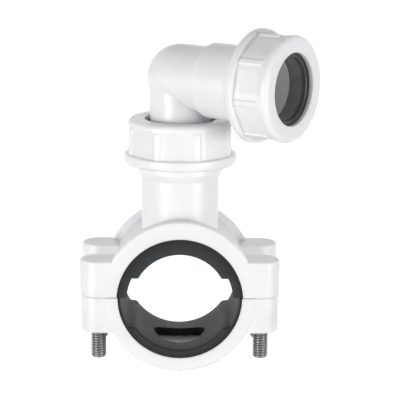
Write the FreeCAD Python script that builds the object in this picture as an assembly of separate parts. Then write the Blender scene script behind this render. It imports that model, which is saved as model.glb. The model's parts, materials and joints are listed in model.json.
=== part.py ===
import FreeCAD, Part
import math
import os

from FreeCAD import Placement, Rotation, Vector

# Saddle clamp for a waste pipe with a swivel elbow branch.
# The origin is on the axis of the clamped pipe, half way along the clamp.
# The pipe runs along Y, the branch rises along Z and -Y is the front.
# All sizes are in millimetres and all angles in degrees.

# Pipes that the clamp joins
pipe_seat_r = 18.5
branch_pipe_r = 11.5
branch_pipe_wall = 1.75

# Rubber linings
upper_lining_wall = 6.2
upper_relief_wall = 3.9
upper_shelf_rise = 7.7
lower_lining_wall = 3.2
lower_side_wall = 1.1
lower_shelf_drop = 12.0
lower_window_r = 10.2
lining_hole_r = 8.0
lining_end_inset = 0.3

# Clamp halves
half_length = 21.4
split_z = 1.3
split_gap = 0.2
lower_bore_step = 0.4
upper_wall = 3.2
lower_wall = 3.1
bore_stock = 3.0
end_rib_height = 2.3
end_rib_width = 4.2
end_rib_edge_r = 1.2
end_rib_foot_r = 0.6

# Studs, washers and slotted round nuts, M6
thread_r = 3.0
stud_offset = 7.1
stud_reach = 11.2
stud_tip_chamfer = 0.7
head_flats = 10.0
head_height = 4.0
head_cover = 2.2
ear_hole_clearance = 0.3
washer_hole_clearance = 0.2
washer_r = 5.5
washer_thickness = 1.6
nut_hole_clearance = 0.1
round_nut_height = 5.0
round_nut_chamfer = 0.5
nut_slot_width = 2.0
nut_slot_depth = 1.8
nut_recess = 2.0
counterbore_clearance = 0.15

# Ears for the studs
lower_ear_wall = 1.15
upper_ear_step = 0.4
upper_ear_height = 14.2
lower_ear_height = 14.4
ear_edge_r = 0.7
ear_root_depth = 3.2

# Branch spigot on the upper half
spigot_rise = 21.8
spigot_foot_r = 0.8
socket_wall = 2.75
socket_clearance = 0.35
socket_depth = 19.0

# Compression joint, the same on the inlet and on the outlet
joint_thread_step = 1.5
thread_clearance = 0.3
thread_crest_chamfer = 0.6
taper_lead = 2.6
nut_length = 17.8
nut_wall = 3.6
nut_panel_depth = 0.65
nut_flange_step = 1.4
nut_flange_height = 4.8
nut_flange_edge_r = 0.8
nut_bevel = 1.0
nut_lip = 2.0
nut_lip_depth = 2.9
nut_shoulder_r = 1.7
nut_rib_count = 8
nut_rib_width = 2.3
nut_rib_height = 0.5
nut_rib_top_drop = 3.1
nut_rib_nose_r = 0.4
slip_ring_thickness = 1.0
slip_ring_width = 1.6
slip_ring_clearance = 0.5
seat_gap = 0.05
seal_flange_thickness = 1.4
seal_face_clearance = 0.2
seal_nose = 5.2
seal_nose_wall = 1.0
seal_entry_bevel = 0.5
mouth_wall = 2.0

# Inlet joint, at the top of the spigot
inlet_taper_length = 3.0
inlet_nut_phase = 18.5
inlet_seal_clearance = 0.1

# Elbow
arm_over_nut = 1.6
elbow_turn = 34.4
leg_wall = 2.25
leg_end_gap = 1.5
barrel_step = 0.9
outlet_arm_wall = 2.7
outlet_shoulder = 13.9
outlet_shoulder_r = 1.6
outlet_taper_length = 2.4

# Outlet joint
nut_to_nut = 12.1
outlet_nut_phase = 10.0
outlet_socket_clearance = 0.4
outlet_socket_depth = 27.3

# Places worked out from the sizes above
upper_bore_r = pipe_seat_r + upper_lining_wall
upper_relief_r = upper_bore_r - upper_relief_wall
upper_body_r = upper_bore_r + upper_wall
lower_bore_r = upper_bore_r - lower_bore_step
lower_seat_r = lower_bore_r - lower_lining_wall
lower_side_r = lower_bore_r - lower_side_wall
lower_body_r = lower_bore_r + lower_wall
pocket_r = washer_r + counterbore_clearance
lower_ear_r = pocket_r + lower_ear_wall
upper_ear_r = lower_ear_r + upper_ear_step
ear_x = upper_bore_r + stud_offset
ear_y = half_length - upper_ear_r
strap_top = split_z - split_gap
ear_top = split_z + upper_ear_height
ear_bottom = split_z - lower_ear_height
nut_seat_z = ear_bottom + nut_recess + round_nut_height + washer_thickness
stud_tip = ear_bottom - stud_reach
waterway_r = branch_pipe_r - branch_pipe_wall
leg_r = waterway_r + leg_wall
barrel_r = leg_r + barrel_step
socket_r = leg_r + socket_clearance
spigot_r = socket_r + socket_wall
joint_thread_r = spigot_r + joint_thread_step
joint_bore_r = joint_thread_r + thread_clearance
seal_mouth_r = joint_thread_r - mouth_wall
nut_body_r = joint_bore_r + nut_wall
nut_flange_r = nut_body_r + nut_flange_step
nut_mouth_r = joint_bore_r - nut_lip_depth
lip_shoulder = nut_length - nut_lip
seal_face = lip_shoulder - seat_gap
slip_ring_low = seal_face - slip_ring_thickness
seal_flange_top = slip_ring_low - seat_gap
mouth_height = seal_flange_top - seal_flange_thickness
seal_flange_r = joint_bore_r - slip_ring_clearance
slip_ring_bore_r = seal_flange_r - slip_ring_width
seal_face_r = slip_ring_bore_r - seal_face_clearance
inlet_nut_z = split_z + upper_body_r + spigot_rise
inlet_mouth_z = inlet_nut_z + mouth_height
inlet_land_r = leg_r + inlet_seal_clearance
socket_floor_z = inlet_mouth_z - socket_depth
leg_end_z = socket_floor_z + leg_end_gap
outlet_socket_r = branch_pipe_r + outlet_socket_clearance
outlet_arm_r = outlet_socket_r + outlet_arm_wall
outlet_nut_start = nut_flange_r + nut_to_nut
outlet_mouth = outlet_nut_start + mouth_height
outlet_pipe_stop = outlet_mouth - outlet_socket_depth
elbow_axis_z = inlet_nut_z + nut_length + arm_over_nut + outlet_arm_r
ear_sides = (("left", -1), ("right", 1))
ear_ends = (("front", -1), ("rear", 1))
UP = Vector(0, 0, 1)


def rod(radius, low, high):
    return Part.makeCylinder(radius, high - low, Vector(0, 0, low))


def tube(outer, inner, low, high):
    return rod(outer, low, high).cut(rod(inner, low, high))


def cone(r_low, r_high, low, high):
    return Part.makeCone(r_low, r_high, high - low, Vector(0, 0, low))


def block(x0, x1, y0, y1, z0, z1):
    return Part.makeBox(x1 - x0, y1 - y0, z1 - z0, Vector(x0, y0, z0))


def closed_face(steps):
    """Face in the XZ plane from (x, z) points; a third and fourth value give an arc's middle point."""
    edges = []
    last = Vector(steps[0][0], 0, steps[0][1])
    for step in steps[1:] + steps[:1]:
        point = Vector(step[0], 0, step[1])
        if len(step) == 4:
            edges.append(Part.Arc(last, Vector(step[2], 0, step[3]), point).toShape())
        elif point.distanceToPoint(last) > 1e-6:
            edges.append(Part.LineSegment(last, point).toShape())
        last = point
    return Part.Face(Part.Wire(edges))


def corner(x, z, radius, toward_x, toward_z):
    """Middle of a quarter round whose square corner is (x, z)."""
    inset = radius * (1 - math.sqrt(0.5))
    return x + toward_x * inset, z + toward_z * inset


def turned(steps):
    return closed_face(steps).revolve(Vector(0, 0, 0), UP, 360)


def outlet_place():
    """Turns a shape built on +Z so that it lies on the outlet's axis."""
    lie_down = Placement(Vector(0, 0, 0), Rotation(Vector(0, 1, 0), 90))
    swing = Placement(Vector(0, 0, elbow_axis_z), Rotation(UP, -elbow_turn))
    return swing.multiply(lie_down)


def on_outlet(shape):
    shape = shape.copy()
    shape.Placement = outlet_place().multiply(shape.Placement)
    return shape


def pipe_cylinder(radius, z=0.0, length=4 * half_length):
    return Part.makeCylinder(radius, length, Vector(0, -length / 2, z), Vector(0, 1, 0))


def shell_profile(body_r, rib_r, bore_r):
    """Section of one clamp half along the pipe: a wall with a raised rib at each end."""
    inner = bore_r - bore_stock
    rib_in = half_length - end_rib_width
    edge = end_rib_edge_r
    foot = end_rib_foot_r
    steps = [(inner, -half_length)]
    steps.append((rib_r - edge, -half_length))
    steps.append((rib_r, -half_length + edge, *corner(rib_r, -half_length, edge, -1, 1)))
    steps.append((rib_r, -rib_in))
    steps.append((body_r + foot, -rib_in))
    steps.append((body_r, -rib_in + foot, *corner(body_r, -rib_in, foot, 1, 1)))
    steps.append((body_r, rib_in - foot))
    steps.append((body_r + foot, rib_in, *corner(body_r, rib_in, foot, 1, -1)))
    steps.append((rib_r, rib_in))
    steps.append((rib_r, half_length - edge))
    steps.append((rib_r - edge, half_length, *corner(rib_r, half_length, edge, -1, -1)))
    steps.append((inner, half_length))
    return closed_face(steps)


def half_shell(body_r, bore_r, side):
    """Half ring about the split line; side is 1 for the upper half and -1 for the lower."""
    face = shell_profile(body_r, body_r + end_rib_height, bore_r)
    face.rotate(Vector(0, 0, 0), Vector(1, 0, 0), -90)
    face.translate(Vector(0, 0, split_z))
    return face.revolve(Vector(0, 0, split_z), Vector(0, -side, 0), 180)


def ear(x, y, radius, z_root, z_end):
    """Stud ear: round outside, with straight flanks that run into the shell."""
    side = 1 if x > 0 else -1
    low, high = min(z_root, z_end), max(z_root, z_end)
    inner_x = upper_bore_r - ear_root_depth
    x0, x1 = sorted((side * inner_x, x))
    flank = block(x0, x1, y - radius, y + radius, low, high)
    round_end = Part.makeCylinder(radius, high - low, Vector(x, y, low))
    solid = flank.fuse(round_end).removeSplitter()
    end_edges = [e for e in solid.Edges if abs(e.BoundBox.ZMin - z_end) < 1e-6
                 and abs(e.BoundBox.ZMax - z_end) < 1e-6]
    return solid.makeFillet(ear_edge_r, end_edges)


def ear_places():
    for end_name, end in ear_ends:
        for side_name, side in ear_sides:
            yield f"{end_name}_{side_name}", side * ear_x, end * ear_y


def stud(x, y):
    """Threaded stud with its hexagon head moulded into the upper ear."""
    chamfer = stud_tip_chamfer
    head_low = ear_top - head_cover - head_height
    shank = turned([(0, stud_tip), (thread_r - chamfer, stud_tip),
                    (thread_r, stud_tip + chamfer), (thread_r, head_low), (0, head_low)])
    corner_r = head_flats / 2 / math.cos(math.radians(30))
    points = [Vector(corner_r * math.cos(math.radians(60 * i)),
                     corner_r * math.sin(math.radians(60 * i)), head_low) for i in range(7)]
    head = Part.Face(Part.makePolygon(points)).extrude(Vector(0, 0, head_height))
    solid = shank.fuse(head)
    solid.translate(Vector(x, y, 0))
    return solid


def spigot():
    """Solid post of the branch, with the collar that carries the pipe thread."""
    foot = split_z + upper_bore_r / 2
    taper_top = inlet_nut_z - taper_lead
    return turned([(0, foot), (spigot_r, foot), (spigot_r, taper_top - inlet_taper_length),
                   (joint_thread_r, taper_top),
                   (joint_thread_r, inlet_mouth_z - thread_crest_chamfer),
                   (joint_thread_r - thread_crest_chamfer, inlet_mouth_z), (0, inlet_mouth_z)])


def branch_root():
    """Plain half barrel with the spigot on it and a rounded foot between the two."""
    reach = upper_body_r + 1
    barrel = pipe_cylinder(upper_body_r, split_z, 2 * half_length)
    barrel = barrel.common(block(-reach, reach, -half_length, half_length, split_z,
                                 split_z + reach))
    body = barrel.fuse(spigot())
    foot = [edge for edge in body.Edges if is_foot(edge)]
    return body.makeFillet(spigot_foot_r, foot)


def is_foot(edge):
    """True for the curved edge where the spigot leaves the barrel."""
    box = edge.BoundBox
    far = max(abs(box.XMin), abs(box.XMax), abs(box.YMin), abs(box.YMax))
    if abs(far - spigot_r) > 0.01 or box.ZMin < split_z + upper_body_r / 2:
        return False
    return box.ZMax < split_z + upper_body_r + 0.01 and edge.Curve.TypeId != "Part::GeomLine"


def upper_saddle():
    body = half_shell(upper_body_r, upper_bore_r, 1).fuse(branch_root())
    for name, x, y in ear_places():
        body = body.fuse(ear(x, y, upper_ear_r, split_z, ear_top))
    body = body.cut(pipe_cylinder(upper_bore_r))
    body = body.cut(rod(waterway_r, 0, inlet_mouth_z))
    body = body.cut(rod(socket_r, socket_floor_z, inlet_mouth_z))
    body = body.cut(seal_seat(inlet_land_r, inlet_mouth_z))
    for name, x, y in ear_places():
        body = body.cut(stud(x, y))
    return body.removeSplitter()


def upper_lining():
    end = half_length - lining_end_inset
    ring = pipe_cylinder(upper_bore_r, 0, 2 * end).cut(pipe_cylinder(pipe_seat_r))
    keep = block(-upper_bore_r, upper_bore_r, -end, end, split_z, 2 * upper_bore_r)
    lining = ring.common(keep)
    relief = pipe_cylinder(upper_relief_r).common(
        block(-upper_bore_r, upper_bore_r, -half_length, half_length,
              split_z - 1, split_z + upper_shelf_rise))
    lining = lining.cut(relief)
    return lining.cut(rod(lining_hole_r, 0, 2 * upper_bore_r))


def lower_strap():
    body = half_shell(lower_body_r, lower_bore_r, -1)
    for name, x, y in ear_places():
        body = body.fuse(ear(x, y, lower_ear_r, split_z, ear_bottom))
    body = body.cut(pipe_cylinder(lower_bore_r, split_z))
    reach = ear_x + 2 * lower_ear_r
    body = body.cut(block(-reach, reach, -half_length, half_length, strap_top, split_z + 1))
    for name, x, y in ear_places():
        hole = rod(thread_r + ear_hole_clearance, ear_bottom - 1, split_z + 1)
        pocket = rod(pocket_r, ear_bottom - 1, nut_seat_z)
        hole = hole.fuse(pocket)
        hole.translate(Vector(x, y, 0))
        body = body.cut(hole)
    return body.removeSplitter()


def lower_lining():
    """Lining of the strap: a thick seat with thin walls above its two shelves."""
    end = half_length - lining_end_inset
    reach = lower_bore_r + 1
    shelf_z = split_z - lower_shelf_drop
    lining = pipe_cylinder(lower_bore_r, split_z, 2 * end)
    lining = lining.cut(pipe_cylinder(lower_seat_r, split_z))
    above_shelves = block(-reach, reach, -half_length, half_length, shelf_z, split_z + reach)
    lining = lining.cut(pipe_cylinder(lower_side_r, split_z).common(above_shelves))
    lining = lining.cut(block(-reach, reach, -half_length, half_length, strap_top,
                              split_z + reach))
    return lining.cut(rod(lower_window_r, split_z - reach, split_z))


def washer(x, y):
    solid = tube(washer_r, thread_r + washer_hole_clearance, nut_seat_z - washer_thickness,
                 nut_seat_z)
    solid.translate(Vector(x, y, 0))
    return solid


def round_nut(x, y):
    """Round nut with a slot across its lower face for a forked key."""
    high = nut_seat_z - washer_thickness
    low = high - round_nut_height
    edge = round_nut_chamfer
    bore = thread_r + nut_hole_clearance
    solid = turned([(bore, low + edge), (bore + edge, low), (washer_r - edge, low),
                    (washer_r, low + edge), (washer_r, high), (bore, high)])
    half = nut_slot_width / 2
    solid = solid.cut(block(-washer_r, washer_r, -half, half, low - 1, low + nut_slot_depth))
    solid.translate(Vector(x, y, 0))
    return solid


def compression_nut(phase):
    """Ribbed union nut on +Z: flange at z = 0, mouth at z = nut_length, first rib at the phase."""
    flange_r = nut_flange_r
    edge = nut_flange_edge_r
    top = nut_flange_height
    outline = [(joint_bore_r, 0), (flange_r - nut_bevel, 0), (flange_r, nut_bevel),
               (flange_r, top - edge),
               (flange_r - edge, top, *corner(flange_r, top, edge, -1, -1)),
               (joint_bore_r, top)]
    flange = turned(outline)
    shoulder = nut_shoulder_r
    barrel = turned([(0, 0), (nut_body_r, 0), (nut_body_r, nut_length - shoulder),
                     (nut_body_r - shoulder, nut_length,
                      *corner(nut_body_r, nut_length, shoulder, -1, -1)),
                     (0, nut_length)])
    barrel = barrel.common(panels(phase))
    body = barrel.fuse(flange)
    for i in range(nut_rib_count):
        rib = nut_rib()
        rib.rotate(Vector(0, 0, 0), UP, phase + i * 360 / nut_rib_count)
        body = body.fuse(rib)
    body = body.cut(rod(joint_bore_r, -1, lip_shoulder))
    body = body.cut(rod(nut_mouth_r, 0, nut_length + 1))
    return body.removeSplitter()


def panels(phase):
    """Prism whose flat sides make the panels between the ribs."""
    corner_r = (nut_body_r - nut_panel_depth) / math.cos(math.pi / nut_rib_count)
    points = []
    for i in range(nut_rib_count + 1):
        angle = math.radians(phase + i * 360 / nut_rib_count)
        points.append(Vector(corner_r * math.cos(angle), corner_r * math.sin(angle), 0))
    return Part.Face(Part.makePolygon(points)).extrude(Vector(0, 0, nut_length))


def nut_rib():
    """One grip rib, square at its upper end with a small rounding."""
    root = joint_bore_r + nut_wall / 2
    crest = nut_body_r + nut_rib_height
    top = nut_length - nut_rib_top_drop
    nose = nut_rib_nose_r
    low = nut_flange_height / 2
    face = closed_face([(root, low), (crest, low), (crest, top - nose),
                        (crest - nose, top, *corner(crest, top, nose, -1, -1)), (root, top)])
    face.translate(Vector(0, -nut_rib_width / 2, 0))
    return face.extrude(Vector(0, nut_rib_width, 0))


def slip_ring():
    return tube(seal_flange_r, slip_ring_bore_r, slip_ring_low, seal_face)


def seal(land_r):
    """Cone seal on +Z: its flange lies on the mouth, its nose fills the seat under it."""
    low = mouth_height - seal_nose
    return turned([(land_r, low), (land_r + seal_nose_wall, low), (seal_mouth_r, mouth_height),
                   (seal_flange_r, mouth_height), (seal_flange_r, seal_flange_top),
                   (seal_face_r, seal_flange_top), (seal_face_r, seal_face),
                   (land_r + seal_entry_bevel, seal_face), (land_r, seal_face - seal_entry_bevel)])


def seal_seat(land_r, mouth):
    """Cone that is cut from a mouth for the seal's nose."""
    return cone(land_r + seal_nose_wall, seal_mouth_r, mouth - seal_nose, mouth)


def at_inlet(shape):
    shape = shape.copy()
    shape.translate(Vector(0, 0, inlet_nut_z))
    return shape


def at_outlet(shape):
    shape = shape.copy()
    shape.translate(Vector(0, 0, outlet_nut_start))
    return on_outlet(shape)


def elbow():
    """Swivel elbow: plain leg down, thicker barrel and a threaded socket for the outlet pipe."""
    thread_start = outlet_nut_start - taper_lead
    shoulder = outlet_shoulder
    rounding = min(outlet_shoulder_r, outlet_arm_r - barrel_r)
    crest = thread_crest_chamfer
    leg = rod(leg_r, leg_end_z, elbow_axis_z)
    knee = Part.makeSphere(barrel_r, Vector(0, 0, elbow_axis_z))
    arm = turned([(0, 0), (barrel_r, 0), (barrel_r, shoulder),
                  (outlet_arm_r - rounding, shoulder),
                  (outlet_arm_r, shoulder + rounding,
                   *corner(outlet_arm_r, shoulder, rounding, -1, 1)),
                  (outlet_arm_r, thread_start - outlet_taper_length),
                  (joint_thread_r, thread_start), (joint_thread_r, outlet_mouth - crest),
                  (joint_thread_r - crest, outlet_mouth), (0, outlet_mouth)])
    body = leg.fuse(knee).fuse(on_outlet(arm))
    body = body.cut(rod(waterway_r, leg_end_z - 1, elbow_axis_z))
    body = body.cut(Part.makeSphere(waterway_r, Vector(0, 0, elbow_axis_z)))
    bore = rod(waterway_r, 0, outlet_pipe_stop)
    bore = bore.fuse(rod(outlet_socket_r, outlet_pipe_stop, outlet_mouth))
    bore = bore.fuse(seal_seat(outlet_socket_r, outlet_mouth))
    return body.cut(on_outlet(bore)).removeSplitter()


def save(name, shape):
    if len(shape.Solids) != 1 or not shape.isValid():
        raise RuntimeError(f"{name}: {len(shape.Solids)} solids, valid {shape.isValid()}")
    shape.Solids[0].exportStep(f"parts/{name}.step")
    print(f"{name}: {shape.Volume / 1000:.2f} cm3")


def main():
    os.makedirs("parts", exist_ok=True)
    save("upper_saddle", upper_saddle())
    save("lower_strap", lower_strap())
    save("upper_lining", upper_lining())
    save("lower_lining", lower_lining())
    for name, x, y in ear_places():
        save(f"stud_{name}", stud(x, y))
        save(f"washer_{name}", washer(x, y))
        save(f"slotted_nut_{name}", round_nut(x, y))
    save("inlet_nut", at_inlet(compression_nut(inlet_nut_phase)))
    save("inlet_slip_ring", at_inlet(slip_ring()))
    save("inlet_seal", at_inlet(seal(inlet_land_r)))
    save("elbow", elbow())
    save("outlet_nut", at_outlet(compression_nut(outlet_nut_phase)))
    save("outlet_slip_ring", at_outlet(slip_ring()))
    save("outlet_seal", at_outlet(seal(outlet_socket_r)))


main()
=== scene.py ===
import json
import math
from functools import partial

import bmesh
import bpy
from bpy.props import FloatProperty, FloatVectorProperty, IntProperty, PointerProperty
from mathutils import Matrix, Vector


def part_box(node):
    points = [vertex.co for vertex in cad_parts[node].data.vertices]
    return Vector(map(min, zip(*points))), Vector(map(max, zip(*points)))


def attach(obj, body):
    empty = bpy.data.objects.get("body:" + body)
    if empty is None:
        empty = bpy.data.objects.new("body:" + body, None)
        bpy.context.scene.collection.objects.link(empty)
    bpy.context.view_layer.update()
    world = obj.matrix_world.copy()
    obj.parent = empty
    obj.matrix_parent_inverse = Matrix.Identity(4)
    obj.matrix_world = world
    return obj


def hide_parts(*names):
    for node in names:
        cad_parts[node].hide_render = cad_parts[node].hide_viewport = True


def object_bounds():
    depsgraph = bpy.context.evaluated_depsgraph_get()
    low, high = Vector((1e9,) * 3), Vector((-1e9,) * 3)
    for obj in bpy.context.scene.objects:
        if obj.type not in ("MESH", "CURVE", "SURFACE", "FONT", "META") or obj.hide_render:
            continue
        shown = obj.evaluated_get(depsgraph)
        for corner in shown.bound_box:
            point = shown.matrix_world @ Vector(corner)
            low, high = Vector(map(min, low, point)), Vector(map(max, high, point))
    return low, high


bl_info = {
    "name": "Pipe Clamp Dresser",
    "version": (1, 0, 0),
    "blender": (4, 5, 0),
    "location": "3D View > Sidebar > Pipe Clamp",
    "description": "Gives the pipe clamp its plastic, rubber and zinc finishes and its threads",
    "category": "Object",
}

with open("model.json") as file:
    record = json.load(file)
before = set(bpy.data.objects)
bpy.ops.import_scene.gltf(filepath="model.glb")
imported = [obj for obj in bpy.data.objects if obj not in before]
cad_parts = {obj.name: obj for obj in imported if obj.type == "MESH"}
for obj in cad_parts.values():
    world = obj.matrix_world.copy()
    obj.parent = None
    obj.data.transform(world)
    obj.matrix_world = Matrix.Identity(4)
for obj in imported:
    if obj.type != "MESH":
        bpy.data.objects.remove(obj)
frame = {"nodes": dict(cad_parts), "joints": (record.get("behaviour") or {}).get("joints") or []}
cad_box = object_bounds()

MM = 0.001
WHITE = (1, 1, 1, 1)

# Edges stay sharp over these angles
CREASE = math.radians(38)
TURNED_CREASE = math.radians(30)
LINING_CREASE = math.radians(40)
NUT_CREASE = math.radians(50)

JOINTS = {joint["name"]: joint for joint in frame["joints"]}
STUD_NODES = sorted(name for name in frame["nodes"] if name.startswith("stud_"))
STUD_HARDWARE = sorted(name for name in frame["nodes"]
                       if name.startswith(("washer_", "slotted_nut_")))


def along(node, point, axis):
    """Lowest and highest distance of a node along an axis that passes through a point."""
    reach = [(vertex.co - point).dot(axis) for vertex in frame["nodes"][node].data.vertices]
    return min(reach), max(reach)


def widest(node, point, axis):
    """Largest distance of a node from an axis."""
    size = 0.0
    for vertex in frame["nodes"][node].data.vertices:
        arm = vertex.co - point
        size = max(size, (arm - arm.dot(axis) * axis).length)
    return size


# Axes of the branch, as the joints give them
UP = Vector((0, 0, 1))
BRANCH_FOOT = Vector((0, 0, 0))
ELBOW_CENTRE = Vector(JOINTS["elbow_swivel"]["pos_m"])
OUTWARD = Vector(JOINTS["outlet_nut_turn"]["axis"]).normalized()
INLET_LOW, INLET_HIGH = along("inlet_nut", BRANCH_FOOT, UP)
OUTLET_LOW = along("outlet_nut", ELBOW_CENTRE, OUTWARD)[0]
NUT_FLANGE_R = widest("inlet_nut", BRANCH_FOOT, UP)
NUT_LENGTH = INLET_HIGH - INLET_LOW
COLLAR_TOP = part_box("upper_saddle")[1].z
ELBOW_MOUTH = along("elbow", ELBOW_CENTRE, OUTWARD)[1]


# Settings

LengthProperty = partial(FloatProperty, unit="LENGTH", min=0)
ShareProperty = partial(FloatProperty, subtype="FACTOR", min=0, max=1)
AngleProperty = partial(FloatProperty, subtype="ANGLE")
PowerProperty = partial(FloatProperty, unit="POWER", min=0)
ColourProperty = partial(FloatVectorProperty, subtype="COLOR", size=3, min=0, max=1)


class PlasticSettings(bpy.types.PropertyGroup):
    colour: ColourProperty(
        name="Colour", description="Colour of the moulded halves, nuts and elbow",
        default=(0.80, 0.81, 0.82))
    ring_colour: ColourProperty(
        name="Slip ring colour", description="Colour of the slip rings in the nuts",
        default=(0.70, 0.69, 0.64))
    roughness: ShareProperty(
        name="Roughness", description="How matt the moulded surface is", default=0.34)
    edge_radius: LengthProperty(
        name="Edge radius", description="Rounding that the mould leaves on sharp edges",
        default=0.3 * MM)
    translucency: ShareProperty(
        name="Translucency", description="Share of the light that goes into the plastic",
        default=0.7)
    light_reach: LengthProperty(
        name="Light reach", description="How far light travels inside the plastic",
        default=2.0 * MM)


class RubberSettings(bpy.types.PropertyGroup):
    colour: ColourProperty(
        name="Colour", description="Colour of the linings", default=(0.026, 0.029, 0.0305))
    bloom_colour: ColourProperty(
        name="Bloom colour", description="Greyer colour of the bloom on the linings",
        default=(0.031, 0.034, 0.0355))
    # Painted shade: the linings turn darker over this reach where they meet the plastic halves.
    painted_shade_colour: ColourProperty(
        name="Joint colour", description="Darker colour where a lining meets the plastic",
        default=(0.006, 0.0075, 0.0085))
    painted_shade_reach: LengthProperty(
        name="Joint reach", description="How far the darker colour reaches from the plastic",
        default=3.6 * MM)
    seal_colour: ColourProperty(
        name="Seal colour", description="Colour of the cone seals",
        default=(0.012, 0.014, 0.0155))
    # Painted sheen: a lighter colour laid over the bore of a seal.
    seal_bore_sheen_colour: ColourProperty(
        name="Seal bore colour", description="Lighter colour of the polished bore of a seal",
        default=(0.2, 0.212, 0.218))
    roughness: ShareProperty(
        name="Roughness", description="How matt the linings are", default=0.56)
    seal_roughness: ShareProperty(
        name="Seal roughness", description="How matt the seals are", default=0.4)
    gloss: ShareProperty(
        name="Gloss", description="Share of the light that the rubber's skin reflects",
        default=0.25)


class LiningSettings(bpy.types.PropertyGroup):
    upper_wall: LengthProperty(
        name="Upper wall", description="Thickness of the upper lining over the pipe",
        default=6.2 * MM)
    upper_side_wall: LengthProperty(
        name="Upper side wall", description="Thickness of the upper lining under its shelves",
        default=3.9 * MM)
    upper_shelf: LengthProperty(
        name="Upper shelf", description="Height of the upper shelves over the split line",
        default=7.7 * MM)
    branch_hole: LengthProperty(
        name="Branch hole", description="Radius of the hole under the branch", default=8.0 * MM)
    lower_wall: LengthProperty(
        name="Lower wall", description="Thickness of the lower lining under the pipe",
        default=3.2 * MM)
    lower_side_wall: LengthProperty(
        name="Lower side wall", description="Thickness of the lower lining over its shelves",
        default=1.1 * MM)
    lower_shelf: LengthProperty(
        name="Lower shelf", description="Depth of the lower shelves under the bore's centre",
        default=12.0 * MM)
    window: LengthProperty(
        name="Window", description="Radius of the window in the lower lining", default=10.2 * MM)
    end_rounding: LengthProperty(
        name="End rounding", description="Rounding of the linings' inner edges at both ends",
        default=1.2 * MM)
    corner_reach: LengthProperty(
        name="Corner softness", description="How far the rounding of a shelf's corner reaches",
        default=1.0 * MM)
    clearance: LengthProperty(
        name="Clearance", description="Gap between the linings and the plastic halves",
        default=0.03 * MM)


class SealSettings(bpy.types.PropertyGroup):
    inlet_bore: LengthProperty(
        name="Inlet bore", description="Inner radius of the inlet seal", default=12.1 * MM)
    outlet_bore: LengthProperty(
        name="Outlet bore", description="Inner radius of the outlet seal", default=11.9 * MM)
    nose_wall: LengthProperty(
        name="Nose wall", description="Wall of a seal at the end of its nose", default=1.0 * MM)
    cone_radius: LengthProperty(
        name="Cone radius", description="Radius of a seal's cone where it meets the flange",
        default=14.6 * MM)
    flange: LengthProperty(
        name="Flange", description="Thickness of a seal's flange", default=1.4 * MM)
    face_radius: LengthProperty(
        name="Face radius", description="Radius of the face that stands up inside the slip ring",
        default=14.6 * MM)
    face_rise: LengthProperty(
        name="Face rise", description="Height of the face over the flange", default=1.05 * MM)
    entry_bevel: LengthProperty(
        name="Entry bevel", description="Bevel where a pipe enters a seal", default=0.5 * MM)
    # Depth in the bore at which the painted sheen is full; the seal's outline has a point there.
    sheen_depth: LengthProperty(
        name="Polish depth", description="Depth in the bore at which its polish is full",
        default=2.4 * MM)
    softness: LengthProperty(
        name="Softness", description="How far the rounding of a seal's edges reaches",
        default=0.4 * MM)


class SteelSettings(bpy.types.PropertyGroup):
    colour: ColourProperty(
        name="Colour", description="Colour of the zinc plate", default=(0.27, 0.275, 0.28))
    roughness: ShareProperty(
        name="Roughness", description="How dull the zinc plate is", default=0.3)


class StudSettings(bpy.types.PropertyGroup):
    radius: LengthProperty(
        name="Thread radius", description="Outer radius of the studs' thread", default=3.0 * MM)
    pitch: LengthProperty(
        name="Pitch", description="Rise of the studs' thread in one turn", default=1.0 * MM)
    depth: LengthProperty(
        name="Thread depth", description="Depth of the studs' thread", default=0.61 * MM)
    thread_length: LengthProperty(
        name="Thread length", description="Length of the thread from the stud's tip",
        default=26.0 * MM)
    tip_chamfer: LengthProperty(
        name="Tip chamfer", description="Chamfer at the stud's tip", default=0.7 * MM)
    head_flats: LengthProperty(
        name="Head width", description="Width over the flats of the hexagon head",
        default=10.0 * MM)
    head_height: LengthProperty(
        name="Head height", description="Height of the hexagon head", default=4.0 * MM)


class NutSettings(bpy.types.PropertyGroup):
    rib_count: IntProperty(
        name="Ribs", description="Grip ribs round a compression nut", min=3, default=8)
    rib_width: LengthProperty(
        name="Rib width", description="Width of one grip rib", default=2.3 * MM)
    rib_height: LengthProperty(
        name="Rib height", description="How far a rib stands out from the nut's round body",
        default=0.5 * MM)
    rib_drop: LengthProperty(
        name="Inlet rib end",
        description="Distance from a rib's end to the inlet nut's mouth face", default=3.2 * MM)
    outlet_rib_drop: LengthProperty(
        name="Outlet rib end",
        description="Distance from a rib's end to the outlet nut's mouth face", default=4.2 * MM)
    flange_step: LengthProperty(
        name="Flange step", description="How far the flange stands out from the round body",
        default=1.4 * MM)
    flange_height: LengthProperty(
        name="Inlet flange height", description="Height of the inlet nut's flange",
        default=4.1 * MM)
    outlet_flange_height: LengthProperty(
        name="Outlet flange height", description="Height of the outlet nut's flange",
        default=3.6 * MM)
    flange_edge: LengthProperty(
        name="Flange edge", description="Rounding of the flange's upper edge", default=0.8 * MM)
    bevel: LengthProperty(
        name="Flange bevel", description="Bevel of the flange's lower edge", default=1.0 * MM)
    panel_depth: LengthProperty(
        name="Panel depth", description="Depth of the flat panels in the round body",
        default=0.65 * MM)
    wall: LengthProperty(
        name="Wall", description="Wall of the nut's round body", default=3.6 * MM)
    lip: LengthProperty(
        name="Lip", description="Thickness of the lip at the mouth", default=2.0 * MM)
    lip_depth: LengthProperty(
        name="Lip depth", description="How far the lip reaches in from the bore",
        default=2.9 * MM)
    shoulder: LengthProperty(
        name="Shoulder", description="Rounding of the outer edge at the mouth", default=2.0 * MM)
    softness: LengthProperty(
        name="Softness", description="Small roundings where ribs, panels and lip meet",
        default=0.22 * MM)
    inlet_phase: AngleProperty(
        name="Inlet nut turn", description="Place of the inlet nut's first rib",
        default=math.radians(18.5))
    outlet_phase: AngleProperty(
        name="Outlet nut turn", description="Place of the outlet nut's first rib",
        default=math.radians(10.0))


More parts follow.
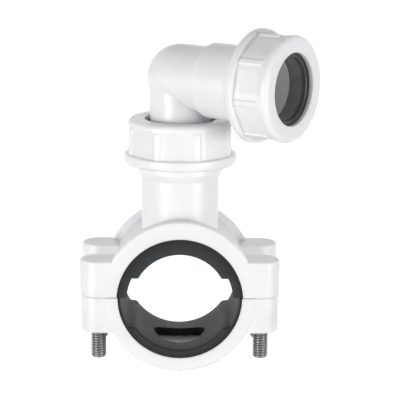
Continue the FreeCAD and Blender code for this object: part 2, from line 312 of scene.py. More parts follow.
class PipeThreadSettings(bpy.types.PropertyGroup):
    pitch: LengthProperty(
        name="Pitch", description="Rise of the pipe thread in one turn", default=2.309 * MM)
    radius: LengthProperty(
        name="Collar radius", description="Radius of the collar that carries the thread",
        default=16.6 * MM)
    ridge: LengthProperty(
        name="Ridge", description="Height of the thread's ridge over the collar",
        default=0.2 * MM)
    length: LengthProperty(
        name="Length", description="Length of the thread from the collar's mouth",
        default=13.0 * MM)


class StageSettings(bpy.types.PropertyGroup):
    azimuth: AngleProperty(
        name="Azimuth", description="Side that the camera stands on, 0 in front",
        default=math.radians(-0.912))
    elevation: AngleProperty(
        name="Elevation", description="Height of the camera over the horizon",
        default=math.radians(12.456))
    roll: AngleProperty(
        name="Roll", description="Tilt of the camera about its own line of sight",
        default=math.radians(0.472))
    distance: FloatProperty(
        name="Distance", description="Distance of the camera from the point it looks at",
        unit="LENGTH", min=0.01, default=828.66 * MM)
    target: FloatVectorProperty(
        name="Target", description="Point that the camera looks at", subtype="TRANSLATION",
        size=3, default=(7.862 * MM, 0, 35.77 * MM))
    lens: FloatProperty(
        name="Lens", description="Focal length for a sensor 36 mm wide", unit="CAMERA", min=1,
        default=188.6)
    floor_drop: LengthProperty(
        name="Floor drop", description="Height of the clamp over the floor", default=200 * MM)
    left_power: PowerProperty(
        name="Left lamp", description="Power of the soft lamp on the left", default=9.9)
    right_power: PowerProperty(
        name="Right lamp", description="Power of the soft lamp on the right", default=8.2)
    back_power: PowerProperty(
        name="Back lamp", description="Power of the soft lamp behind the clamp", default=0.5)
    room_light: FloatProperty(
        name="Room light", description="Strength of the even light from all round", min=0,
        default=0.395)


# Meshes

def place_mesh(name, points, faces, place=None, crease=CREASE):
    """New object from points and faces, smooth except over edges sharper than the crease."""
    mesh = bpy.data.meshes.new(name)
    mesh.from_pydata([tuple(point) for point in points], [], faces)
    mesh.validate()
    if place is not None:
        mesh.transform(place)
    turn_faces_out(mesh)
    mesh.shade_smooth()
    mesh.set_sharp_from_angle(angle=crease)
    piece = bpy.data.objects.new(name, mesh)
    bpy.context.scene.collection.objects.link(piece)
    return piece


def turn_faces_out(mesh):
    sheet = bmesh.new()
    sheet.from_mesh(mesh)
    bmesh.ops.recalc_face_normals(sheet, faces=sheet.faces)
    sheet.to_mesh(mesh)
    sheet.free()


def ring_faces(rings, columns, closed):
    """Quads between rings of points; a closed stack joins its last ring to its first."""
    faces = []
    for ring in range(rings if closed else rings - 1):
        low = ring * columns
        high = (ring + 1) % rings * columns
        for column in range(columns):
            after = (column + 1) % columns
            faces.append((low + column, low + after, high + after, high + column))
    return faces


def polar(radius, angle, height):
    return radius * math.cos(angle), radius * math.sin(angle), height


def smooth_step(value):
    value = min(max(value, 0.0), 1.0)
    return value * value * (3 - 2 * value)


def soft_min(first, second, width):
    """Smaller of two lengths, blended over the width where they are alike."""
    gap = max(width - abs(first - second), 0.0) / width
    return min(first, second) - gap * gap * width / 4


# Largest share of a side or wall that a rounding takes
MOST_OF_SIDE = 0.45


def quarter(radius, steps):
    """Offsets (across, up) along a quarter round, from its side to its top."""
    turns = [math.pi / 2 * step / steps for step in range(steps + 1)]
    return [(radius * math.cos(turn), radius * math.sin(turn)) for turn in turns]


def curve_corner(before, corner, after, reach, steps=4):
    """Short curve in the place of a corner; it starts and ends at most the reach away from it."""
    middle = Vector(corner)
    to_before = Vector(before) - middle
    to_after = Vector(after) - middle
    start = middle + to_before * min(reach / to_before.length, MOST_OF_SIDE)
    end = middle + to_after * min(reach / to_after.length, MOST_OF_SIDE)
    shares = [step / steps for step in range(steps + 1)]
    return [start * (1 - share) ** 2 + middle * 2 * share * (1 - share) + end * share ** 2
            for share in shares]


def soften(outline, reach):
    """Closed outline with a short curve at each of its corners."""
    points = []
    for index, corner in enumerate(outline):
        after = outline[(index + 1) % len(outline)]
        points += curve_corner(outline[index - 1], corner, after, reach)
    return points


def turned(name, outline, place, columns=144):
    """Ring turned from a closed outline of (radius, height) points."""
    rings = [[polar(radius, math.tau * column / columns, height)
              for radius, height in outline] for column in range(columns)]
    points = [point for ring in rings for point in ring]
    return place_mesh(name, points, ring_faces(columns, len(outline), True), place,
                      TURNED_CREASE)


def pierce(piece, radius, low, high, columns=120):
    """Cuts a round hole about the Z axis through a piece."""
    rings = [[polar(radius, math.tau * column / columns, height)
              for column in range(columns)] for height in (low, high)]
    faces = ring_faces(2, columns, False)
    faces += [tuple(range(columns)), tuple(range(columns, 2 * columns))]
    cutter = place_mesh("cutter", rings[0] + rings[1], faces)
    cut = piece.modifiers.new("hole", "BOOLEAN")
    cut.operation = "DIFFERENCE"
    cut.object = cutter
    solid = piece.data
    pierced = piece.evaluated_get(bpy.context.evaluated_depsgraph_get())
    piece.data = bpy.data.meshes.new_from_object(pierced)
    piece.data.name = piece.name
    piece.modifiers.clear()
    piece.data.shade_smooth()
    piece.data.set_sharp_from_angle(angle=TURNED_CREASE)
    bpy.data.objects.remove(cutter)
    bpy.data.meshes.remove(solid)


def mark_painted_light(piece, share_at):
    """Keeps a share from 0 to 1 for the piece's colour: painted shade on a lining near the
    plastic, painted sheen on a seal's bore.
    """
    share = piece.data.attributes.new("open", "FLOAT", "POINT")
    for vertex, kept in zip(piece.data.vertices, share.data):
        kept.value = min(max(share_at(vertex.co), 0.0), 1.0)


# Linings

ARC_STEP = math.radians(1.5)
ALONG_LINING = (-0.6, -0.3, 0, 0.3, 0.6)


class Band:
    """Half of a lining's section, from its middle to the split line, about a centre height."""

    def __init__(self, centre, side, outer, split):
        self.centre = centre
        self.side = side
        self.outer = outer
        self.split = split

    def angle(self, radius, height):
        return math.acos(min((height - self.centre) * self.side / radius, 1))

    def at(self, radius, angle):
        return Vector((radius * math.sin(angle),
                       self.centre + self.side * radius * math.cos(angle)))

    def arc(self, radius, start, end):
        """Points on a circle, about one step apart."""
        steps = max(round((end - start) / ARC_STEP), 1)
        return [self.at(radius, start + (end - start) * step / steps)
                for step in range(steps + 1)]

    def inner(self, seat, side_wall, shelf, reach):
        """Inner line: the seat's arc, the shelf and the side wall's arc."""
        seat_end = self.angle(seat, shelf)
        wall_start = self.angle(side_wall, shelf)
        first = self.at(seat, seat_end)
        second = self.at(side_wall, wall_start)
        seat_stop = seat_end - reach / seat
        wall_stop = wall_start + reach / side_wall / 2
        line = self.arc(seat, 0, seat_stop)[:-1]
        line += curve_corner(self.at(seat, seat_stop - reach / seat), first, second, reach)
        line += curve_corner(first, second, self.at(side_wall, wall_stop), reach / 4)
        return line + self.arc(side_wall, wall_stop, self.angle(side_wall, self.split))[1:]

    def partner(self, point, inner_end):
        """Point on the outer circle that belongs to a point of the inner line."""
        turn = math.atan2(point.x, (point.y - self.centre) * self.side)
        return self.at(self.outer, turn * self.angle(self.outer, self.split) / inner_end)


def lining(name, band, line, end, rounding):
    """Thick band along Y from its inner line, with its inner edges rounded at both ends."""
    inner_end = math.atan2(line[-1].x, (line[-1].y - band.centre) * band.side)
    right = [(point, band.partner(point, inner_end)) for point in line]
    left = [(Vector((-inner.x, inner.y)), Vector((-outer.x, outer.y)))
            for inner, outer in reversed(right[1:])]
    points = []
    stations = left + right
    for inner, outer in stations:
        thick = outer - inner
        soft = min(rounding, thick.length * MOST_OF_SIDE)
        edge = [(soft - up, end - soft + across) for across, up in quarter(soft, 5)]
        loop = [(depth, -reach) for depth, reach in edge]
        loop += [(0, end * share) for share in ALONG_LINING]
        loop += list(reversed(edge)) + [(thick.length, end), (thick.length, -end)]
        for depth, reach in loop:
            spot = inner + thick * depth / thick.length
            points.append((spot.x, reach, spot.y))
    columns = len(points) // len(stations)
    faces = ring_faces(len(stations), columns, False)
    faces += [tuple(range(columns)), tuple(range(len(points) - columns, len(points)))]
    return place_mesh(name, points, faces, None, LINING_CREASE)


# Painted shade share: 0 on the lining's outer skin against the plastic, 1 once the given reach
# further in.
def mark_lining(piece, band, reach):
    mark_painted_light(piece, lambda spot: (band.outer - math.hypot(spot.x, spot.z - band.centre)) / reach)


def upper_lining(settings, painted_shade_reach):
    low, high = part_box("upper_lining")
    band = Band(0, 1, high.z - settings.clearance, low.z)
    line = band.inner(high.z - settings.upper_wall, high.z - settings.upper_side_wall,
                      low.z + settings.upper_shelf, settings.corner_reach / 2)
    piece = lining("moulded_upper_lining", band, line, high.y, settings.end_rounding / 4)
    pierce(piece, settings.branch_hole, 0, 2 * high.z)
    mark_lining(piece, band, painted_shade_reach)
    return piece


def lower_lining(settings, painted_shade_reach):
    low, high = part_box("lower_lining")
    centre = low.z + high.x
    band = Band(centre, -1, high.x - settings.clearance, high.z)
    line = band.inner(high.x - settings.lower_wall, high.x - settings.lower_side_wall,
                      centre - settings.lower_shelf, settings.corner_reach)
    piece = lining("moulded_lower_lining", band, line, high.y, settings.end_rounding)
    pierce(piece, settings.window, 2 * low.z, 0)
    mark_lining(piece, band, painted_shade_reach)
    return piece


# Seals

def cone_seal(name, node, bore, seal, axis_point, axis, place):
    """Cone seal with its flange, and its face raised inside the slip ring."""
    low, high = along(node, axis_point, axis)
    rim = widest(node, axis_point, axis)
    flange_top = high - seal.face_rise
    mouth = flange_top - seal.flange
    outline = [(bore, low), (bore + seal.nose_wall, low), (seal.cone_radius, mouth),
               (rim, mouth), (rim, flange_top), (seal.face_radius, flange_top),
               (seal.face_radius, high), (bore + seal.entry_bevel, high),
               (bore, high - seal.entry_bevel), (bore, high - seal.sheen_depth)]
    piece = turned(name, soften(outline, seal.softness), place)

    # Share of the painted sheen: 0 off the bore and at the entry bevel, full at the sheen's depth
    # in the bore.
    def on_bore(spot):
        arm = spot - axis_point
        height = arm.dot(axis)
        off_bore = (arm - height * axis).length - bore
        past_entry = high - height - seal.entry_bevel
        depth = past_entry / (seal.sheen_depth - seal.entry_bevel)
        return depth if off_bore < seal.entry_bevel else 0

    mark_painted_light(piece, on_bore)
    return piece


# Threads

# Half widths of the pipe thread's ridge, its start and its fading ends, in turns or pitches
RIDGE_FOOT, RIDGE_CREST = 0.46, 0.08
RIDGE_START, RIDGE_FADE = 0.6, 0.25
RIDGE_SINK = 0.05 * MM


def thread_groove(phase):
    """Depth of a metric thread at a phase of its pitch, from 0 on the crest to 1 in the root."""
    crest, root = 1 / 16, 1 / 8
    off_crest = min(phase % 1, 1 - phase % 1)
    return min(max((off_crest - crest) / (0.5 - root - crest), 0.0), 1.0)


def stud_rings(stud, tip, top, columns=48, rows_in_a_turn=12):
    """Rings of one stud from its tip, through the thread and plain shank, to its head."""
    rings = []
    shank = stud.radius - stud.depth / 4
    rows = round(stud.thread_length / stud.pitch * rows_in_a_turn)
    for row in range(rows + 1):
        height = tip + row * stud.pitch / rows_in_a_turn
        limit = stud.radius - stud.tip_chamfer + (height - tip)
        fade = smooth_step((tip + stud.thread_length - height) / stud.pitch)
        ring = []
        for column in range(columns):
            groove = thread_groove(height / stud.pitch - column / columns) * stud.depth
            cut = shank + fade * (stud.radius - groove - shank)
            ring.append((min(cut, limit), math.tau * column / columns, height))
        rings.append(ring)
    under_head = top - stud.head_height
    edge = stud.head_height / 10
    hexagon = [stud.head_flats / 2 / math.cos((column / columns * 6 % 1 - 0.5) * math.pi / 3)
               for column in range(columns)]
    inset = stud.head_flats / 2 - edge / 2
    for height, radii in ((under_head, [shank] * columns), (under_head, hexagon),
                          (top - edge, hexagon), (top, [inset] * columns)):
        rings.append([(radii[column], math.tau * column / columns, height)
                      for column in range(columns)])
    return rings


def cut_stud(node, stud):
    """Threaded stud in the place of a plain one."""
    low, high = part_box(node)
    centre = Vector(((low.x + high.x) / 2, (low.y + high.y) / 2, 0))
    rings = stud_rings(stud, low.z, high.z)
    columns = len(rings[0])
    points = [polar(*point) for ring in rings for point in ring]
    faces = ring_faces(len(rings), columns, False)
    faces.append(tuple(reversed(range(columns))))
    faces.append(tuple(range(len(points) - columns, len(points))))
    return place_mesh(f"threaded_{node}", points, faces, Matrix.Translation(centre),
                      TURNED_CREASE)


def pipe_thread(name, thread, mouth, place, steps_in_a_turn=72):
    """Low helical ridge on a collar, faded out at both ends."""
    turns = thread.length / thread.pitch - 1
    steps = round(turns * steps_in_a_turn)
    half = thread.pitch * RIDGE_FOOT
    crest = thread.pitch * RIDGE_CREST
    sunk = thread.radius - RIDGE_SINK
    points = []
    for step in range(steps + 1):
        angle = math.tau * step / steps_in_a_turn
        middle = mouth - thread.pitch * (RIDGE_START + step / steps_in_a_turn)
        end = min(step, steps - step) / (steps_in_a_turn * RIDGE_FADE)
        height = thread.ridge * smooth_step(end)
        for radius, offset in ((sunk, half), (thread.radius + height, crest),
                               (thread.radius + height, -crest), (sunk, -half)):
            points.append(polar(radius, angle, middle + offset))
    faces = ring_faces(steps + 1, 4, False)
    faces.append((3, 2, 1, 0))
    last = 4 * steps
    faces.append((last, last + 1, last + 2, last + 3))
    return place_mesh(name, points, faces, place)


# Compression nuts

# Where the sections stand on a rib's flank and on the panel beside it, as shares
ON_FLANK = (-1, -0.5, 0, 0.5, 1)
ON_PANEL = (0.12, 0.3, 0.5, 0.75, 1)
# Where the outline's points stand on a rib's length and over its end, as shares
ON_RIB = (0.3, 0.6)
OVER_RIB = (0.35, 0.5, 0.65, 0.85)
# Rounded end of a rib: height in softnesses and share of the rib that is left
RIB_END = ((-2, 1), (-1, 0.97), (-0.3, 0.8), (0, 0.12), (1, 0))


def rib_angles(nut, crest_r):
    """Angles from a rib's middle to the next panel's middle, close at the rib's flank."""
    half_period = math.pi / nut.rib_count
    flank = nut.rib_width / 2 / crest_r
    soft = nut.softness / crest_r
    angles = [0, flank / 2] + [flank + soft * share for share in ON_FLANK]
    panel = half_period - angles[-1]
    return angles + [angles[-1] + panel * share for share in ON_PANEL]


def nut_section(nut, apart, flange, rib_drop):
    """Closed section of a compression nut at an angle from its nearest rib's middle."""
    body_r = NUT_FLANGE_R - nut.flange_step
    bore_r = body_r - nut.wall
    mouth_r = bore_r - nut.lip_depth
    crest_r = body_r + nut.rib_height
    soft = nut.softness
    flank = nut.rib_width / 2 / crest_r
    on_rib = 1 - smooth_step((apart - flank + soft / crest_r) / (2 * soft / crest_r))
    from_panel = math.pi / nut.rib_count - apart
    panel_r = soft_min((body_r - nut.panel_depth) / math.cos(from_panel), body_r, soft)
    rib_top = NUT_LENGTH - rib_drop

    def outside(height, ribbed):
        over = max(height - (NUT_LENGTH - nut.shoulder), 0.0)
        round_r = body_r - nut.shoulder + math.sqrt(max(nut.shoulder ** 2 - over ** 2, 0.0))
        faded = smooth_step((height - rib_top) / (NUT_LENGTH - nut.shoulder - rib_top))
        base = soft_min(panel_r + (body_r - panel_r) * faded, round_r, soft)
        return base + (crest_r - base) * on_rib * ribbed, height

    section = [(bore_r + soft, 0), (NUT_FLANGE_R - nut.bevel - soft, 0),
               (NUT_FLANGE_R - nut.bevel + soft / 2, soft / 2),
               (NUT_FLANGE_R - soft / 2, nut.bevel - soft / 2),
               (NUT_FLANGE_R, nut.bevel + soft)]
    section += [(NUT_FLANGE_R - nut.flange_edge + across, flange - nut.flange_edge + up)
                for across, up in quarter(nut.flange_edge, 5)]
    foot = outside(flange, 1)[0]
    section += [(foot + soft * 1.5 - across, flange + soft * 1.5 - up)
                for across, up in reversed(quarter(soft * 1.5, 3))]
    section += [outside(flange + (rib_top - flange) * share, 1) for share in ON_RIB]
    section += [outside(rib_top + soft * up, left) for up, left in RIB_END]
    shoulder_foot = NUT_LENGTH - nut.shoulder
    section += [outside(rib_top + (shoulder_foot - rib_top) * share, 0)
                for share in OVER_RIB]
    section += [outside(shoulder_foot + up, 0) for across, up in quarter(nut.shoulder, 7)]
    section += [(mouth_r + soft * 2, NUT_LENGTH), (mouth_r + soft * 0.6, NUT_LENGTH - soft * 0.5),
                (mouth_r, NUT_LENGTH - soft * 2), (mouth_r, NUT_LENGTH - nut.lip),
                (bore_r, NUT_LENGTH - nut.lip), (bore_r, soft)]
    return section


def mould_nut(name, nut, phase, flange, rib_drop, place):
    """Ribbed compression nut as one skin of quads, section after section round its axis."""
    crest_r = NUT_FLANGE_R - nut.flange_step + nut.rib_height
    half = rib_angles(nut, crest_r)
    period = [-angle for angle in reversed(half[1:-1])] + half
    sections = []
    for rib in range(nut.rib_count):
        for angle in period:
            turn = phase + rib * math.tau / nut.rib_count + angle
            sections.append([polar(radius, turn, height)
                             for radius, height in nut_section(nut, abs(angle), flange,
                                                               rib_drop)])
    points = [point for section in sections for point in section]
    faces = ring_faces(len(sections), len(sections[0]), True)
    return place_mesh(name, points, faces, place, NUT_CREASE)


def lay_outward():
    """Turns what is built on +Z about the origin onto the outlet's axis."""
    swing = Matrix.Rotation(math.atan2(OUTWARD.y, OUTWARD.x), 4, "Z")
    return Matrix.Translation(ELBOW_CENTRE) @ swing @ Matrix.Rotation(math.pi / 2, 4, "Y")


# Materials

# Middle of a noise's values, over which colours blend and numbers spread
BLEND_OVER = (0.35, 0.65)
SPREAD_OVER = (0.3, 0.7)
# Sockets of a Mix node that mixes colours
MIX_FACTOR, MIX_UNDER, MIX_OVER, MIX_RESULT = 0, 6, 7, 2
# Depth of the rubber's grain, gloss of the seals and how much lighter the light blotches of the
# painted sheen on their bores are
LINING_GRAIN, SEAL_GRAIN = 1.0, 0.4
SEAL_GLOSS = 0.5
BORE_SHEEN_LIFT = 1.2


def set_sockets(node, values):
    for key, value in values.items():
        node.inputs[key].default_value = value


class Nodes:
    """Small helper that adds nodes to one tree, sets their sockets and links them."""

    def __init__(self, tree):
        self.tree = tree

    def add(self, kind, values=None, **settings):
        node = self.tree.nodes.new(kind)
        for key, value in settings.items():
            setattr(node, key, value)
        set_sockets(node, values or {})
        return node

    def link(self, source, target):
        self.tree.links.new(source, target)

    def seen_rays(self):
        """Factor that is 1 for camera, glossy and transmission rays."""
        path = self.add("ShaderNodeLightPath")
        total = path.outputs["Is Camera Ray"]
        for ray in ("Is Glossy Ray", "Is Transmission Ray"):
            larger = self.add("ShaderNodeMath", operation="MAXIMUM")
            self.link(total, larger.inputs[0])
            self.link(path.outputs[ray], larger.inputs[1])
            total = larger.outputs[0]
        return total

    def show(self, lit, seen, output):
        """One shader for the rays that light the clamp and another for those that see."""
        mix = self.add("ShaderNodeMixShader")
        self.link(self.seen_rays(), mix.inputs["Fac"])
        self.link(lit.outputs[0], mix.inputs[1])
        self.link(seen.outputs[0], mix.inputs[2])
        self.link(mix.outputs[0], self.add(output).inputs["Surface"])


class Skin(Nodes):
    """Nodes of one new material, with its shader and the object's own coordinates."""

    def __init__(self, name):
        self.material = bpy.data.materials.new(name)
        self.material.use_nodes = True
        super().__init__(self.material.node_tree)
        self.shader = self.tree.nodes["Principled BSDF"]
        self.where = self.add("ShaderNodeTexCoord").outputs["Object"]

    def feed(self, source, socket):
        self.link(source, self.shader.inputs[socket])

    def noise(self, scale, detail, roughness=0.5, distortion=0.0):
        """Noise over the object's own coordinates, in waves per metre."""
        node = self.add("ShaderNodeTexNoise", {"Scale": scale, "Detail": detail,
                                               "Roughness": roughness, "Distortion": distortion})
        self.link(self.where, node.inputs["Vector"])
        return node.outputs["Fac"]

    def blend(self, factor, first, second):
        """Colour that goes from the first to the second over the factor's middle."""
        node = self.add("ShaderNodeValToRGB")
        for stop, position, colour in zip(node.color_ramp.elements, BLEND_OVER,
                                          (first, second)):
            stop.position = position
            stop.color = (*colour, 1)
        self.link(factor, node.inputs["Fac"])
        return node.outputs["Color"]

    def over(self, under, colour, share):
        """Colour laid over a plain one by a share that the mesh keeps."""
        kept = self.add("ShaderNodeAttribute", attribute_name=share)
        node = self.add("ShaderNodeMix", data_type="RGBA")
        node.inputs[MIX_UNDER].default_value = (*under, 1)
        self.link(kept.outputs["Fac"], node.inputs[MIX_FACTOR])
        self.link(colour, node.inputs[MIX_OVER])
        return node.outputs[MIX_RESULT]

    def spread(self, factor, low, high):
        """Number that follows the factor's middle between two limits."""
        start, end = SPREAD_OVER
        node = self.add("ShaderNodeMapRange", {"From Min": start, "From Max": end,
                                               "To Min": low, "To Max": high})
        self.link(factor, node.inputs["Value"])
        return node.outputs["Result"]

    def bump(self, factor, depth, strength, under):
        node = self.add("ShaderNodeBump", {"Distance": depth, "Strength": strength})
        self.link(factor, node.inputs["Height"])
        self.link(under, node.inputs["Normal"])
        return node.outputs["Normal"]

    def edges(self, radius):
        return self.add("ShaderNodeBevel", {"Radius": radius}, samples=6).outputs["Normal"]


def shade(tint, factor):
    return tuple(min(part * factor, 1.0) for part in tint)


def plastic(name, tint, settings):
    """Moulded plastic: faint flow marks, a fine skin and softened edges."""
    skin = Skin(name)
    flow = skin.noise(55, 4, roughness=0.55, distortion=0.6)
    skin.feed(skin.blend(flow, shade(tint, 0.975), shade(tint, 1.01)), "Base Color")
    rough = settings.roughness
    skin.feed(skin.spread(skin.noise(260, 3), rough - 0.04, rough + 0.05), "Roughness")
    wavy = skin.bump(skin.noise(140, 2), 0.05 * MM, 0.35, skin.edges(settings.edge_radius))
    skin.feed(skin.bump(skin.noise(2600, 2), 0.006 * MM, 0.5, wavy), "Normal")
    set_sockets(skin.shader, {"IOR": 1.49, "Subsurface Weight": settings.translucency,
                              "Subsurface Radius": (1.0, 1.0, 1.0),
                              "Subsurface Scale": settings.light_reach})
    return skin.material


def rubber(name, closed_colour, tint, bloom, rough, gloss, grain):
    """Moulded rubber: dark, matt and slightly blotched; by the mesh's share it lays a painted
    shade on a lining near the plastic, or a painted sheen on a seal's bore.
    """
    skin = Skin(name)
    blotch = skin.noise(240, 5, roughness=0.55, distortion=0.5)
    skin.feed(skin.over(closed_colour, skin.blend(blotch, tint, bloom), "open"), "Base Color")
    skin.feed(skin.spread(skin.noise(500, 3), rough - 0.05, rough + 0.05), "Roughness")
    lumpy = skin.bump(skin.noise(420, 3), 0.03 * MM * grain, 0.5, skin.edges(0.35 * MM))
    skin.feed(skin.bump(skin.noise(4200, 3), 0.02 * MM * grain, 0.6, lumpy), "Normal")
    set_sockets(skin.shader, {"Specular IOR Level": gloss})
    return skin.material


def zinc(name, settings):
    """Bright zinc plate with cloudy patches and fine scratches."""
    skin = Skin(name)
    cloud = skin.noise(420, 4, roughness=0.6)
    skin.feed(skin.blend(cloud, shade(settings.colour, 0.86), shade(settings.colour, 1.06)),
              "Base Color")
    rough = settings.roughness
    skin.feed(skin.spread(skin.noise(1500, 3), rough - 0.06, rough + 0.1), "Roughness")
    skin.feed(skin.bump(skin.noise(3200, 3), 0.01 * MM, 0.5, skin.edges(0.12 * MM)), "Normal")
    set_sockets(skin.shader, {"Metallic": 1.0})
    return skin.material


def finish_with(piece, material):
    piece.data.materials.clear()
    piece.data.materials.append(material)


def coat_nodes(names, material):
    for name in names:
        finish_with(frame["nodes"][name], material)


# Operators

class PIPECLAMP_OT_halves(bpy.types.Operator):
    """Gives the two halves of the clamp their white moulded finish"""
    bl_idname = "pipeclamp.halves"
    bl_label = "Clamp halves"

    def execute(self, context):
        settings = context.scene.clamp_plastic
        coat_nodes(["upper_saddle", "lower_strap"],
                   plastic("white moulded halves", settings.colour, settings))
        return {"FINISHED"}


class PIPECLAMP_OT_linings(bpy.types.Operator):
    """Moulds the two rubber linings"""
    bl_idname = "pipeclamp.linings"
    bl_label = "Rubber linings"

    def execute(self, context):
        settings = context.scene.clamp_linings
        look = context.scene.clamp_rubber
        reach = look.painted_shade_reach
        # The darker colour is a painted shade where the linings meet the plastic.
        skin = rubber("lining rubber", look.painted_shade_colour, look.colour, look.bloom_colour,
                      look.roughness, look.gloss, LINING_GRAIN)
        for piece, node, body in ((upper_lining(settings, reach), "upper_lining", "saddle"),
                                  (lower_lining(settings, reach), "lower_lining", "strap")):
            finish_with(piece, skin)
            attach(piece, body)
            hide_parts(node)
        return {"FINISHED"}


class PIPECLAMP_OT_studs(bpy.types.Operator):
    """Cuts the threads of the four studs"""
    bl_idname = "pipeclamp.studs"
    bl_label = "Threaded studs"

    def execute(self, context):
        plate = zinc("zinc plated studs", context.scene.clamp_steel)
        for node in STUD_NODES:
            piece = cut_stud(node, context.scene.clamp_studs)
            finish_with(piece, plate)
            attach(piece, "saddle")
            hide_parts(node)
        return {"FINISHED"}


class PIPECLAMP_OT_stud_hardware(bpy.types.Operator):
    """Gives the slotted nuts and washers under the ears their zinc plate"""
    bl_idname = "pipeclamp.stud_hardware"
    bl_label = "Slotted nuts and washers"

    def execute(self, context):
        coat_nodes(STUD_HARDWARE, zinc("zinc plated nuts", context.scene.clamp_steel))
        return {"FINISHED"}


class PIPECLAMP_OT_elbow(bpy.types.Operator):
    """Gives the elbow its white moulded finish"""
    bl_idname = "pipeclamp.elbow"
    bl_label = "Elbow"

    def execute(self, context):
        settings = context.scene.clamp_plastic
        coat_nodes(["elbow"], plastic("white moulded elbow", settings.colour, settings))
        return {"FINISHED"}


class PIPECLAMP_OT_pipe_threads(bpy.types.Operator):
    """Lays the pipe threads on the branch collar and on the elbow's outlet"""
    bl_idname = "pipeclamp.pipe_threads"
    bl_label = "Pipe threads"

    def execute(self, context):
        settings = context.scene.clamp_plastic
        thread = context.scene.clamp_pipe_thread
        white = plastic("white moulded threads", settings.colour, settings)
        inlet = pipe_thread("inlet_pipe_thread", thread, COLLAR_TOP, None)
        outlet = pipe_thread("outlet_pipe_thread", thread, ELBOW_MOUTH, lay_outward())
        for piece, body in ((inlet, "saddle"), (outlet, "elbow")):
            finish_with(piece, white)
            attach(piece, body)
        return {"FINISHED"}


class PIPECLAMP_OT_compression_nuts(bpy.types.Operator):
    """Moulds the two ribbed compression nuts"""
    bl_idname = "pipeclamp.compression_nuts"
    bl_label = "Compression nuts"

    def execute(self, context):
        settings = context.scene.clamp_plastic
        nut = context.scene.clamp_nut
        white = plastic("white moulded nuts", settings.colour, settings)
        on_spigot = Matrix.Translation(INLET_LOW * UP)
        on_elbow = lay_outward() @ Matrix.Translation(OUTLET_LOW * UP)
        inlet = mould_nut("ribbed_inlet_nut", nut, nut.inlet_phase, nut.flange_height,
                          nut.rib_drop, on_spigot)
        outlet = mould_nut("ribbed_outlet_nut", nut, nut.outlet_phase,
                           nut.outlet_flange_height, nut.outlet_rib_drop, on_elbow)
        for piece, node in ((inlet, "inlet_nut"), (outlet, "outlet_nut")):
            finish_with(piece, white)
            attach(piece, node)
            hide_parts(node)
        return {"FINISHED"}


class PIPECLAMP_OT_seals(bpy.types.Operator):
    """Turns the two cone seals and gives the slip rings their plastic"""
    bl_idname = "pipeclamp.seals"
    bl_label = "Seals and slip rings"

    def execute(self, context):
        settings = context.scene.clamp_plastic
        seal = context.scene.clamp_seals
        look = context.scene.clamp_rubber
        # The bore of each seal gets a painted sheen in a lighter colour.
        painted_sheen = look.seal_bore_sheen_colour
        skin = rubber("seal rubber", look.seal_colour, painted_sheen, shade(painted_sheen, BORE_SHEEN_LIFT),
                      look.seal_roughness, SEAL_GLOSS, SEAL_GRAIN)
        inlet = cone_seal("turned_inlet_seal", "inlet_seal", seal.inlet_bore, seal,
                          BRANCH_FOOT, UP, None)
        outlet = cone_seal("turned_outlet_seal", "outlet_seal", seal.outlet_bore, seal,
                           ELBOW_CENTRE, OUTWARD, lay_outward())
        for piece, node, body in ((inlet, "inlet_seal", "saddle"),
                                  (outlet, "outlet_seal", "elbow")):
            finish_with(piece, skin)
            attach(piece, body)
            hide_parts(node)
        coat_nodes(["inlet_slip_ring", "outlet_slip_ring"],
                   plastic("slip ring plastic", settings.ring_colour, settings))
        return {"FINISHED"}


# Stage

SENSOR_WIDTH = 36
LAMP_SIZE = 0.5
FLOOR_REACH = 4.0
FLOOR_COLOUR = (0.8, 0.8, 0.8, 1)
FLOOR_GLOW = 0.72


def add_camera(stage):
    """Camera at the photograph's viewing angle."""
    side = Vector((math.cos(stage.azimuth), math.sin(stage.azimuth), 0))
    level = Vector((math.sin(stage.azimuth), -math.cos(stage.azimuth), 0))
    back = level * math.cos(stage.elevation) + UP * math.sin(stage.elevation)
    above = back.cross(side)
    right = side * math.cos(stage.roll) + above * math.sin(stage.roll)
    up = back.cross(right)
    data = bpy.data.cameras.new("camera")
    data.lens = stage.lens
    data.sensor_width = SENSOR_WIDTH
    camera = bpy.data.objects.new("camera", data)
    place = Matrix((right, up, back)).transposed().to_4x4()
    place.translation = Vector(stage.target) + back * stage.distance
    camera.matrix_world = place
    bpy.context.scene.collection.objects.link(camera)
    bpy.context.scene.camera = camera


def add_lamp(name, place, power):
    """Square soft lamp that faces the middle of the clamp."""
    data = bpy.data.lights.new(name, "AREA")
    data.shape = "SQUARE"
    data.size = LAMP_SIZE
    data.energy = power
    lamp = bpy.data.objects.new(name, data)
    middle = (cad_box[0] + cad_box[1]) / 2
    lamp.location = middle + Vector(place)
    lamp.rotation_mode = "QUATERNION"
    lamp.rotation_quaternion = (-Vector(place)).to_track_quat("-Z", "Y")
    bpy.context.scene.collection.objects.link(lamp)


def add_world(room_light):
    """White surroundings for what is seen, and a plain even light for the rest."""
    world = bpy.data.worlds.new("studio")
    world.use_nodes = True
    world.node_tree.nodes.clear()
    nodes = Nodes(world.node_tree)
    seen = nodes.add("ShaderNodeBackground", {"Color": WHITE, "Strength": 1.0})
    room = nodes.add("ShaderNodeBackground", {"Color": WHITE, "Strength": room_light})
    nodes.show(room, seen, "ShaderNodeOutputWorld")
    bpy.context.scene.world = world


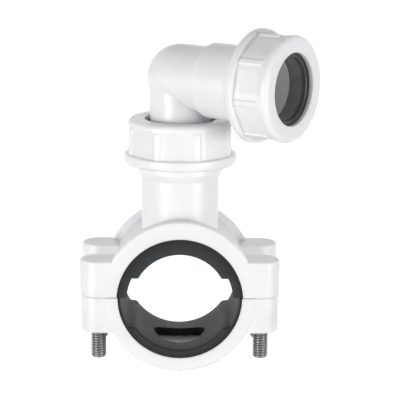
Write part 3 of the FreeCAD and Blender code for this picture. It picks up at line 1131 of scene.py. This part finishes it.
def add_floor(drop):
    """Plain pale floor under the clamp, white where nothing shades it."""
    middle = (cad_box[0] + cad_box[1]) / 2
    height = cad_box[0].z - drop
    points = [(middle.x + FLOOR_REACH * x, middle.y + FLOOR_REACH * y, height)
              for x, y in ((-1, -1), (1, -1), (1, 1), (-1, 1))]
    floor = place_mesh("floor", points, [(0, 1, 2, 3)])
    material = bpy.data.materials.new("pale floor")
    material.use_nodes = True
    material.node_tree.nodes.clear()
    nodes = Nodes(material.node_tree)
    paint = nodes.add("ShaderNodeBsdfDiffuse", {"Color": FLOOR_COLOUR})
    glow = nodes.add("ShaderNodeEmission", {"Color": WHITE, "Strength": FLOOR_GLOW})
    both = nodes.add("ShaderNodeAddShader")
    nodes.link(paint.outputs[0], both.inputs[0])
    nodes.link(glow.outputs[0], both.inputs[1])
    nodes.show(paint, both, "ShaderNodeOutputMaterial")
    finish_with(floor, material)


class PIPECLAMP_OT_stage(bpy.types.Operator):
    """Sets the floor, the soft lamps, the surroundings and the camera"""
    bl_idname = "pipeclamp.stage"
    bl_label = "Stage"

    def execute(self, context):
        stage = context.scene.clamp_stage
        add_camera(stage)
        add_lamp("left lamp", (-0.95, -0.85, -0.03), stage.left_power)
        add_lamp("right lamp", (1.0, -0.75, -0.03), stage.right_power)
        add_lamp("back lamp", (0.0, 1.2, 0.45), stage.back_power)
        add_world(stage.room_light)
        add_floor(stage.floor_drop)
        context.scene.view_settings.view_transform = "Standard"
        return {"FINISHED"}


class PIPECLAMP_PT_sidebar(bpy.types.Panel):
    """Lists the steps that dress the pipe clamp"""
    bl_idname = "PIPECLAMP_PT_sidebar"
    bl_label = "Pipe Clamp"
    bl_space_type = "VIEW_3D"
    bl_region_type = "UI"
    bl_category = "Pipe Clamp"

    def draw(self, context):
        for operator in OPERATORS:
            self.layout.operator(operator.bl_idname)
        for key in SETTINGS:
            group = getattr(context.scene, key)
            box = self.layout.box()
            box.label(text=key.replace("clamp_", "").replace("_", " ").capitalize())
            for name in group.bl_rna.properties.keys():
                if name not in ("rna_type", "name"):
                    box.prop(group, name)


OPERATORS = (PIPECLAMP_OT_halves, PIPECLAMP_OT_linings, PIPECLAMP_OT_studs,
             PIPECLAMP_OT_stud_hardware, PIPECLAMP_OT_elbow, PIPECLAMP_OT_pipe_threads,
             PIPECLAMP_OT_compression_nuts, PIPECLAMP_OT_seals, PIPECLAMP_OT_stage)
SETTINGS = {"clamp_plastic": PlasticSettings, "clamp_rubber": RubberSettings,
            "clamp_linings": LiningSettings, "clamp_seals": SealSettings,
            "clamp_steel": SteelSettings, "clamp_studs": StudSettings,
            "clamp_nut": NutSettings, "clamp_pipe_thread": PipeThreadSettings,
            "clamp_stage": StageSettings}


def register():
    for key, group in SETTINGS.items():
        bpy.utils.register_class(group)
        setattr(bpy.types.Scene, key, PointerProperty(type=group))
    for shown in (*OPERATORS, PIPECLAMP_PT_sidebar):
        bpy.utils.register_class(shown)


def unregister():
    for shown in (PIPECLAMP_PT_sidebar, *reversed(OPERATORS)):
        bpy.utils.unregister_class(shown)
    for key, group in SETTINGS.items():
        delattr(bpy.types.Scene, key)
        bpy.utils.unregister_class(group)


def main():
    register()
    bpy.ops.pipeclamp.halves()
    bpy.ops.pipeclamp.linings()
    bpy.ops.pipeclamp.studs()
    bpy.ops.pipeclamp.stud_hardware()
    bpy.ops.pipeclamp.elbow()
    bpy.ops.pipeclamp.pipe_threads()
    bpy.ops.pipeclamp.compression_nuts()
    bpy.ops.pipeclamp.seals()
    bpy.ops.pipeclamp.stage()


if __name__ == "__main__":
    main()
